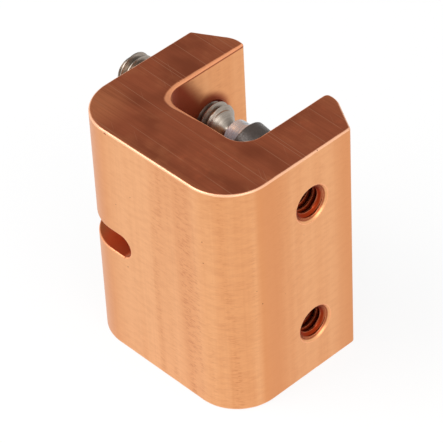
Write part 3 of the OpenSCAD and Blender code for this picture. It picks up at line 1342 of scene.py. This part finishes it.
    def rounding(self, edge: Edge) -> float:
        """Finds how far an edge is rounded off.

        Args:
            edge: An edge of the cut body.

        Returns:
            The width of its rounding, or 0 where it isn't an edge of the slot or a hole.
        """
        s = self.sizes
        middle = (edge.verts[0].co + edge.verts[1].co) / 2
        at_end = min(middle.z - s.low.z, s.high.z - middle.z) < 2 * self.band
        if at_end or edge_turn(edge) < self.least_turn:
            return 0.0
        in_slot = abs(middle.z - s.middle) < self.slot_width / 2 + NEAR and middle.x < 0
        return self.slot_rim if in_slot else self.hole_rim

    def round_off(self, piece: Piece) -> None:
        """Rounds off the edges of the slot and the holes, in faces of the second material.

        Args:
            piece: The cut body.
        """
        with editing(piece) as mesh:
            bmesh.ops.remove_doubles(mesh, verts=mesh.verts, dist=2 * WELD)
            weight = mesh.edges.layers.float.new("bevel_weight_edge")
            for edge in mesh.edges:
                edge[weight] = self.rounding(edge) / self.slot_rim
        for _ in range(2):
            piece.data.materials.append(None)
        modify(
            piece, "BEVEL", limit_method="WEIGHT", width=self.slot_rim, segments=4, use_clamp_overlap=False, material=1,
        )
        settle(piece)

    def mark(self, piece: Piece) -> None:
        """Writes the values that the finish reads: rim on rounded edges and sawn on the ends.

        Args:
            piece: The rounded body.
        """
        s = self.sizes
        least, over = self.sawn_slopes
        with editing(piece) as mesh:
            rim = mesh.verts.layers.float.new("rim")
            sawn = mesh.verts.layers.float.new("sawn")
            mesh.normal_update()
            for vertex in mesh.verts:
                if min(vertex.co.z - s.low.z, s.high.z - vertex.co.z) < self.rim + self.sawn_reach:
                    steep = [abs(f.normal.z) for f in vertex.link_faces]
                    on_wall = min(steep) <= self.wall_slope
                    vertex[rim] = 0.0 if on_wall else min(1.0, self.rim_slope * (1 - max(steep)))
                    vertex[sawn] = unit((abs(vertex.normal.z) - least) / over)
                else:
                    vertex[rim] = float(all(f.material_index == 1 for f in vertex.link_faces))
            for face in mesh.faces:
                face.material_index = 0

    def build(self) -> Piece:
        """Makes the body, cut, rounded off and marked for its finish.

        Returns:
            The body.
        """
        piece = new_piece("copper_body", self.block())
        tool = new_piece("cutters", self.cutters())
        modify(piece, "BOOLEAN", operation="DIFFERENCE", solver="EXACT", object=tool)
        settle(piece)
        bpy.data.meshes.remove(tool.data)
        self.round_off(piece)
        self.mark(piece)
        piece.data.shade_smooth()
        modify(piece, "WEIGHTED_NORMAL", keep_sharp=False, weight=100)
        return piece

    def dress(self, piece: Piece, material: Material) -> None:
        """Finishes the body in copper."""
        fit_out(piece, "clamp_body", "copper", material, "clamp_body")


@dataclass(frozen=True)
class ThreadForm:
    """Inch thread of 60 degrees, for a screw and for the hole that it turns in."""

    radius: float
    pitch: float
    room: float = 0.05 * MM
    screw_depth: float = 0.7083
    hole_depth: float = 0.625
    flank: float = math.tan(math.radians(30))
    least_step: float = 0.1 * MM

    @property
    def sharp_height(self) -> float:
        """Height of the sharp triangle that the thread is cut from."""
        return self.pitch * math.sqrt(3) / 2

    @property
    def root(self) -> float:
        """Radius at the bottom of the screw's grooves."""
        return self.radius - self.screw_depth * self.sharp_height

    @property
    def bore(self) -> float:
        """Radius at the crests of a tapped hole."""
        return self.radius - self.hole_depth * self.sharp_height + self.room

    def ridge(self, middle: float, crest: float, base: float, top: float) -> list[tuple[float, float]]:
        """Returns one pitch of a thread, as offsets along the axis and radii, from half its crest and two radii."""
        foot = crest + abs(top - base) * self.flank
        return [(middle - foot, base), (middle - crest, top), (middle + crest, top), (middle + foot, base)]

    def screw_pitch(self) -> list[tuple[float, float]]:
        """Returns one pitch of a screw."""
        return self.ridge(0.0, self.pitch / 16, self.root, self.radius)

    def hole_pitch(self) -> list[tuple[float, float]]:
        """Returns one pitch of a tapped hole, whose crests stand in the screw's grooves."""
        return self.ridge(self.pitch / 2, self.pitch / 8, self.radius + self.room, self.bore)

    def wind(self, lathe: Lathe, one: list[tuple[float, float]], start: float, stop: float, phase: float) -> Mesh:
        """Winds a thread along an axis and trims it square at both ends.

        Args:
            lathe: The axis.
            one: One pitch of its outline.
            start: The station of its first end.
            stop: The station of its other end.
            phase: A station where a crest of the screw stands above the axis.

        Returns:
            The mesh of the wound surface, open at both ends.
        """
        mesh = bmesh.new()
        first = phase + self.pitch * math.floor((start - phase) / self.pitch - 2)
        count = math.ceil((stop - first) / self.pitch) + 1
        lathe.outline(mesh, [(first + along, radius) for along, radius in one])
        bmesh.ops.spin(
            mesh, geom=mesh.verts[:] + mesh.edges[:], cent=lathe.at(0, 0), axis=X_AXIS, dvec=X_AXIS * self.pitch,
            angle=0.0, steps=count, use_duplicate=True,
        )
        ends = sorted((v for v in mesh.verts if len(v.link_edges) == 1), key=lambda v: v.co.x)
        for left, right in zip(ends[1::2], ends[2::2]):
            bmesh.ops.contextual_create(mesh, geom=[left, right])
        steep = [e for e in mesh.edges if abs(e.verts[0].co.z - e.verts[1].co.z) > self.least_step]
        bmesh.ops.subdivide_edges(mesh, edges=steep, cuts=2)
        lathe.turn(mesh, self.pitch)
        for place, side in ((start, -1), (stop, 1)):
            bmesh.ops.bisect_plane(
                mesh, geom=mesh.verts[:] + mesh.edges[:] + mesh.faces[:], plane_co=X_AXIS * place,
                plane_no=X_AXIS * side, clear_outer=True,
            )
        return mesh


@dataclass
class LevelPiece:
    """A turned piece at one of the two levels."""

    sizes: ClampFrame
    level: Level

    def called(self, rest: str) -> str:
        """Returns a name that starts with the level's own."""
        return f"{self.level.value}_{rest}"

    @property
    def lathe(self) -> Lathe:
        """The axis of the level's clamping screw."""
        return self.sizes.axis(Arm.SCREW, self.level)


@dataclass
class TappedThread(LevelPiece):
    """The thread inside one tapped hole of the body."""

    form: ThreadForm
    arm: Arm
    phase: float
    sunk: float = 0.62 * MM
    countersink: float = 0.65 * MM
    inner_gap: float = 0.02 * MM
    inner_step: float = 0.01 * MM
    inner_slope: float = 1.6
    buried: float = 0.08 * MM
    # Painted highlight along the crests, laid on through the worn-edge colour.
    crest_shine: float = 0.45
    crest_from: float = 1.1
    # Painted shade: the thread gets darker the deeper it lies in the hole.
    dark_from: float = 0.4 * MM
    dark_over: float = 0.5 * MM

    @property
    def lathe(self) -> Lathe:
        """The axis of the hole."""
        return self.sizes.axis(self.arm, self.level)

    @property
    def radius(self) -> float:
        """The radius of the hole."""
        return self.sizes.holes[self.arm].radius

    def limit(self, station: float) -> float:
        """Returns the smallest radius that the countersink and the inner bevel leave at a station."""
        out, back = self.sizes.high.x - abs(station), abs(station) - self.sizes.inside
        return self.radius + max(self.countersink - out, self.inner_step - back * self.inner_slope, -self.radius)

    def build(self) -> Piece:
        """Winds the thread between the two faces of its arm.

        Returns:
            The thread, closed behind by a wall within the body.
        """
        s, lathe, side = self.sizes, self.lathe, self.arm.value
        ends = sorted((side * (s.high.x - self.sunk), side * (s.inside + self.inner_gap)))
        mesh = self.form.wind(lathe, self.form.hole_pitch(), ends[0], ends[1], self.phase)
        for vertex in mesh.verts:
            lathe.move(vertex, vertex.co.x, max(lathe.radius(vertex.co), self.limit(vertex.co.x)))
        outer = self.radius + self.buried
        loops = []
        for end in ends:
            loops += next_ring(mesh, open_loop(mesh, end), lambda v: lathe.move(v, v.co.x, outer))
        bmesh.ops.bridge_loops(mesh, edges=loops)
        clean(mesh)
        self.mark(mesh)
        kind = "screw" if self.arm is Arm.SCREW else "lug"
        return new_piece(self.called(f"{kind}_hole_thread"), mesh, SHARP)

    def mark(self, mesh: Mesh) -> None:
        """Writes the values that the copper finish reads: rim on the crests, which lays a painted highlight along them,
        and deep away from the mouth, which paints shade deeper into the hole.

        Args:
            mesh: The thread's mesh.
        """
        rim = mesh.verts.layers.float.new("rim")
        deep = mesh.verts.layers.float.new("deep")
        for vertex in mesh.verts:
            depth = (self.radius - self.lathe.radius(vertex.co)) / (self.radius - self.form.bore)
            inside = self.sizes.high.x - abs(vertex.co.x)
            vertex[rim] = self.crest_shine * unit(2 * depth - self.crest_from)
            vertex[deep] = unit((inside - self.dark_from) / self.dark_over)

    def dress(self, piece: Piece, material: Material) -> None:
        """Finishes the thread in copper."""
        fit_out(piece, "clamp_body", "copper", material)


@dataclass
class ClampScrew(LevelPiece):
    """One clamping screw: hexagon socket, wound shank, taper, neck, pin and riveted head."""

    form: ThreadForm
    shank_length: float = 23.8 * MM
    crest_inset: float = 0.4 * MM
    end_radius: float = 3.45 * MM
    end_slope: float = 1.2
    end_room: float = 0.06 * MM
    taper_start: float = 3.40 * MM
    taper_length: float = 2.6 * MM
    taper_curve: float = 1.5
    taper_steps: int = 10
    neck_radius: float = 1.65 * MM
    neck_gap: float = 0.8 * MM
    neck_seat: float = 1.4 * MM
    pin_radius: float = 1.1 * MM
    rivet_radius: float = 1.7 * MM
    rivet_height: float = 0.7 * MM
    rivet_bevel: float = 0.2 * MM
    rivet_crown: float = 0.35 * MM
    play: float = 0.03 * MM
    socket_flats: float = 4.0 * MM
    socket_depth: float = 3.6 * MM
    socket_bevel: float = 0.15 * MM
    socket_steps: int = 12
    drill_tip: float = 0.5 * MM
    drill_point: float = 0.02 * MM
    # Where the painted shade in the thread's grooves starts and stops, and how it grows with depth.
    groove_ends: tuple[float, float] = (0.3 * MM, 0.2 * MM)
    groove_from: float = 0.3

    @property
    def last_radius(self) -> float:
        """Radius at the thread's inner end, which passes the crests of the hole."""
        return min(self.taper_start, self.form.bore - self.end_room)

    @property
    def phase(self) -> float:
        """A station where a crest stands above the axis, so that the hole's thread can match it."""
        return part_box(self.called("clamp_screw"))[0].x + self.shank_length - self.crest_inset

    def build(self) -> Piece:
        """Winds the shank, then draws its two ends out ring by ring.

        Returns:
            The screw.
        """
        low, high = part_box(self.called("clamp_screw"))
        start, stop = low.x, low.x + self.shank_length
        lathe = self.lathe
        mesh = self.form.wind(lathe, self.form.screw_pitch(), start, stop, self.phase)
        for vertex in mesh.verts:
            outer = self.end_radius + (vertex.co.x - start)
            inner = self.last_radius + self.end_slope * (stop - vertex.co.x)
            lathe.move(vertex, vertex.co.x, min(lathe.radius(vertex.co), outer, inner))
        self.draw_nose(mesh, stop, high.x)
        self.sink_socket(mesh, start)
        clean(mesh)
        self.mark(mesh, start + self.groove_ends[0], stop - self.groove_ends[1])
        return new_piece(self.called("steel_screw"), mesh, 32)

    def mark(self, mesh: Mesh, start: float, stop: float) -> None:
        """Writes the value groove, with which the steel finish paints shade into the thread's grooves.

        Args:
            mesh: The screw's mesh.
            start: The station where the grooves start.
            stop: The station where they stop.
        """
        groove = mesh.verts.layers.float.new("groove")
        for vertex in mesh.verts:
            depth = (self.form.radius - self.lathe.radius(vertex.co)) / (self.form.radius - self.form.root)
            in_groove = unit((1 + self.groove_from) * depth - self.groove_from)
            vertex[groove] = in_groove if start < vertex.co.x < stop else 0.0

    def draw_nose(self, mesh: Mesh, stop: float, front: float) -> None:
        """Draws the taper, the neck, the pin and the riveted head out of the shank's inner end.

        Args:
            mesh: The screw's mesh.
            stop: The station where the shank stops.
            front: The station of the rivet's front.
        """
        neck_end = stop + self.taper_length + self.neck_gap + self.neck_seat - self.play
        rivet_back = front - self.rivet_height + self.play
        fall = self.taper_start - self.neck_radius
        shares = [i / self.taper_steps for i in range(1, self.taper_steps + 1)]
        rings = [(stop + t * self.taper_length, self.neck_radius + fall * (1 - t) ** self.taper_curve) for t in shares]
        rings += [
            (neck_end, self.neck_radius),
            (neck_end, self.pin_radius),
            (rivet_back, self.pin_radius),
            (rivet_back, self.rivet_radius),
            (front - self.rivet_bevel, self.rivet_radius),
            (front, self.rivet_radius - self.rivet_crown),
        ]
        loop = open_loop(mesh, stop)
        for station, radius in rings:
            loop = next_ring(mesh, loop, partial(self.lathe.move, station=station, radius=radius))
        bmesh.ops.edgeloop_fill(mesh, edges=loop)

    def sink_socket(self, mesh: Mesh, start: float) -> None:
        """Closes the shank's outer end with a face and sinks a hexagon socket into it.

        Args:
            mesh: The screw's mesh.
            start: The station of the outer end.
        """
        lathe = self.lathe
        corner = self.socket_flats / 2 / math.cos(math.radians(30))
        place = Matrix.Translation(lathe.at(start, 0)) @ Matrix.Rotation(math.pi / 2, 4, "Y")
        made = bmesh.ops.create_circle(mesh, radius=corner + self.socket_bevel, segments=6, matrix=place)
        sides = list({e for v in made["verts"] for e in v.link_edges})
        bmesh.ops.subdivide_edges(mesh, edges=sides, cuts=self.socket_steps - 1)
        hexagon = [e for e in mesh.edges if e.is_wire]
        bmesh.ops.bridge_loops(mesh, edges=open_loop(mesh, start) + hexagon)
        shrink = corner / (corner + self.socket_bevel)
        floor = start + self.socket_depth
        loop = [e for e in mesh.edges if e.is_boundary]
        loop = next_ring(mesh, loop, lambda v: lathe.move(v, start + self.socket_bevel, lathe.radius(v.co) * shrink))
        loop = next_ring(mesh, loop, lambda v: lathe.move(v, floor, lathe.radius(v.co)))
        loop = next_ring(mesh, loop, lambda v: lathe.move(v, floor + self.drill_tip, self.drill_point))
        bmesh.ops.edgeloop_fill(mesh, edges=loop)

    def dress(self, piece: Piece, material: Material) -> None:
        """Finishes the screw in stainless steel."""
        fit_out(piece, self.called("screw"), "stainless_steel", material, self.called("clamp_screw"))


@dataclass
class SwivelCollar(LevelPiece):
    """The bright collar that a screw turns in, with the ball that its pad swivels on."""

    radius: float = 3.0 * MM
    neck_bore: float = 1.70 * MM
    neck_seat: float = 1.4 * MM
    pin_bore: float = 1.15 * MM
    rivet_bore: float = 1.75 * MM
    rivet_sink: float = 0.90 * MM
    rounding: float = 0.22 * MM
    ball_steps: int = 16

    def build(self) -> Piece:
        """Turns the collar and rounds off its edges.

        Returns:
            The collar.
        """
        low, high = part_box(self.called("swivel_collar"))
        lathe = self.lathe
        pivot, ball = self.sizes.pivot, (high.z - low.z) / 2
        behind = math.acos(self.radius / ball)
        ahead = math.asin((high.x - pivot) / ball)
        mesh = bmesh.new()
        pen = lathe.outline(mesh, [
            (high.x - self.rivet_sink, self.rivet_bore),
            (high.x - self.rivet_sink, self.pin_bore),
            (low.x + self.neck_seat, self.pin_bore),
            (low.x + self.neck_seat, self.neck_bore),
            (low.x, self.neck_bore),
            (low.x, self.radius),
            (pivot - ball * math.sin(behind), self.radius),
        ])
        pen.arc(lathe.at(pivot, 0), Y_AXIS, behind + ahead, self.ball_steps)
        pen.line(lathe.at(high.x, self.rivet_bore))
        close_up(mesh)
        lathe.turn(mesh)
        round_corners(mesh, self.rounding)
        return new_piece(self.called("bright_collar"), mesh, SHARP)

    def dress(self, piece: Piece, material: Material) -> None:
        """Finishes the collar in bright steel."""
        fit_out(piece, self.called("collar"), "bright_steel", material, self.called("swivel_collar"))


@dataclass
class PressurePad(LevelPiece):
    """The black pad that hangs on a collar's ball."""

    radius: float = 4.2 * MM
    front: float = 2.619 * MM
    lip: float = 0.943 * MM
    cup_radius: float = 3.45 * MM
    cup_floor: float = 2.019 * MM
    cup_steps: int = 16
    droop: float = math.radians(12)
    rounding: float = 0.36 * MM

    def build(self) -> Piece:
        """Turns the pad square on its ball, rounds off its rims and lets it hang.

        Returns:
            The pad.
        """
        pivot, lathe = self.sizes.pivot, self.lathe
        floor_radius = math.sqrt(self.cup_radius ** 2 - self.cup_floor ** 2)
        sweep = math.asin(self.lip / self.cup_radius) + math.asin(self.cup_floor / self.cup_radius)
        mesh = bmesh.new()
        pen = lathe.outline(mesh, [(pivot + self.cup_floor, 0), (pivot + self.cup_floor, floor_radius)])
        pen.arc(lathe.at(pivot, 0), Y_AXIS, -sweep, self.cup_steps)
        pen.line(lathe.at(pivot - self.lip, self.radius))
        pen.line(lathe.at(pivot + self.front, self.radius))
        pen.line(lathe.at(pivot + self.front, 0))
        lathe.turn(mesh)
        round_corners(mesh, self.rounding)
        swing = Matrix.Rotation(self.droop, 3, "Y")
        bmesh.ops.rotate(mesh, verts=mesh.verts, cent=lathe.at(pivot, 0), matrix=swing)
        return new_piece(self.called("black_pad"), mesh, SHARP)

    def dress(self, piece: Piece, material: Material) -> None:
        """Finishes the pad in black oxide."""
        fit_out(piece, self.called("pad"), "black_steel", material, self.called("pressure_pad"))


# Studio


class Lamp(NamedTuple):
    """A square softbox: its name, place, size and power."""

    name: str
    place: Triple
    size: float
    power: float


@dataclass
class Studio:
    """White floor, soft light and the camera that took the photograph."""

    azimuth: float = 48.0
    elevation: float = 41.1
    roll: float = -3.10
    lens: float = 234.5
    sensor: float = 36.0
    eye: Triple = (0.29036, -0.25141, 0.36642)
    floor_size: float = 4.0
    floor_glow: float = 0.85
    floor_grey: Colour = (0.86, 0.86, 0.86, 1.0)
    dark_side: Triple = (-0.57, 0.49, 0.66)
    sky_level: Ramp = Ramp(0.30, 0.95, 1.0, 0.33)
    aim: Triple = (0, 0.01, 0.02)
    lamps: tuple[Lamp, ...] = (
        Lamp("key", (-0.25, -0.40, 0.55), 0.5, 3.2),
        Lamp("fill", (0.60, -0.10, 0.45), 0.5, 1.6),
    )

    def camera(self) -> None:
        """Sets up the camera."""
        data = bpy.data.cameras.new("camera")
        data.lens = self.lens
        data.sensor_width = self.sensor
        data.clip_start = 10 * MM
        eye = bpy.data.objects.new("camera", data)
        turn = Matrix.Rotation(math.radians(self.azimuth), 3, "Z")
        tilt = Matrix.Rotation(math.radians(90 - self.elevation), 3, "X")
        roll = Matrix.Rotation(math.radians(self.roll), 3, "Z")
        eye.rotation_euler = (turn @ tilt @ roll).to_euler()
        eye.location = self.eye
        bpy.context.scene.collection.objects.link(eye)
        bpy.context.scene.camera = eye

    def floor(self) -> None:
        """Lays the floor, which glows a little so that it is white and keeps a faint shadow."""
        mesh = bmesh.new()
        bmesh.ops.create_grid(mesh, x_segments=1, y_segments=1, size=self.floor_size / 2)
        ground = new_piece("floor", mesh)
        made = bpy.data.materials.new("white_floor")
        made.use_nodes = True
        made.node_tree.nodes.clear()
        graph = Graph(made.node_tree)
        path = graph.add("LightPath").outputs
        seen = graph.most(*(path[f"Is {kind} Ray"] for kind in ("Camera", "Glossy", "Transmission")))
        matt = graph.add("BsdfDiffuse", {"Color": self.floor_grey}).outputs[0]
        glow = graph.add("Emission", {"Color": WHITE, "Strength": 1.0}).outputs[0]
        mixed = graph.add("MixShader", {0: graph.times(seen, self.floor_glow), 1: matt, 2: glow})
        graph.add("OutputMaterial", {"Surface": mixed.outputs[0]})
        ground.data.materials.append(made)

    def sky(self) -> None:
        """Makes a world that is white to the camera, and darker behind the object for everything else."""
        world = bpy.data.worlds.new("studio")
        world.use_nodes = True
        world.node_tree.nodes.clear()
        graph = Graph(world.node_tree)
        behind = graph.vector("DOT_PRODUCT", graph.add("TexCoord").outputs["Generated"], self.dark_side)
        level = graph.span(behind, *self.sky_level)
        around = graph.add("CombineColor", {0: level, 1: level, 2: level}).outputs[0]
        shown = graph.mix(graph.add("LightPath").outputs["Is Camera Ray"], around, WHITE)
        backdrop = graph.add("Background", {"Color": shown, "Strength": 1.0})
        graph.add("OutputWorld", {"Surface": backdrop.outputs[0]})
        bpy.context.scene.world = world

    def hang(self, lamp: Lamp) -> None:
        """Hangs a softbox that faces the object.

        Args:
            lamp: The softbox.
        """
        data = bpy.data.lights.new(lamp.name, "AREA")
        data.shape = "SQUARE"
        data.size = lamp.size
        data.energy = lamp.power
        softbox = bpy.data.objects.new(lamp.name, data)
        softbox.location = lamp.place
        sight = Vector(self.aim) - Vector(lamp.place)
        softbox.rotation_euler = sight.to_track_quat("-Z", "Y").to_euler()
        bpy.context.scene.collection.objects.link(softbox)

    def build(self) -> None:
        """Sets up the whole studio."""
        bpy.context.scene.view_settings.view_transform = "Standard"
        self.camera()
        self.floor()
        self.sky()
        for lamp in self.lamps:
            self.hang(lamp)


def main() -> None:
    """Builds and dresses every piece, then the studio."""
    logging.basicConfig(level=logging.INFO, format="%(name)s: %(message)s")
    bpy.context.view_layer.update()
    sizes = ClampFrame.read()
    effects = Effects()
    copper = CopperFinish().material(effects)
    stainless = SteelFinish().material(effects)
    bright = SteelFinish(
        "bright_steel", colour("ccd2d8"), colour("868d95"), colour("6a6e74"), roughness=0.24, metallic=0.55,
    ).material(effects)
    black = BlackFinish().material(effects)
    body = ClampBody(sizes)
    body.dress(body.build(), copper)
    forms = {
        Arm.SCREW: ThreadForm(sizes.screw_radius, INCH_MM / 18 * MM),
        Arm.TAPPED: ThreadForm(sizes.holes[Arm.TAPPED].radius - sizes.room, INCH_MM / 20 * MM),
    }
    for level in Level:
        screw = ClampScrew(sizes, level, forms[Arm.SCREW])
        screw.dress(screw.build(), stainless)
        for arm in Arm:
            thread = TappedThread(sizes, level, forms[arm], arm, screw.phase)
            thread.dress(thread.build(), copper)
        collar = SwivelCollar(sizes, level)
        collar.dress(collar.build(), bright)
        pad = PressurePad(sizes, level)
        pad.dress(pad.build(), black)
    Studio().build()


if __name__ == "__main__":
    main()
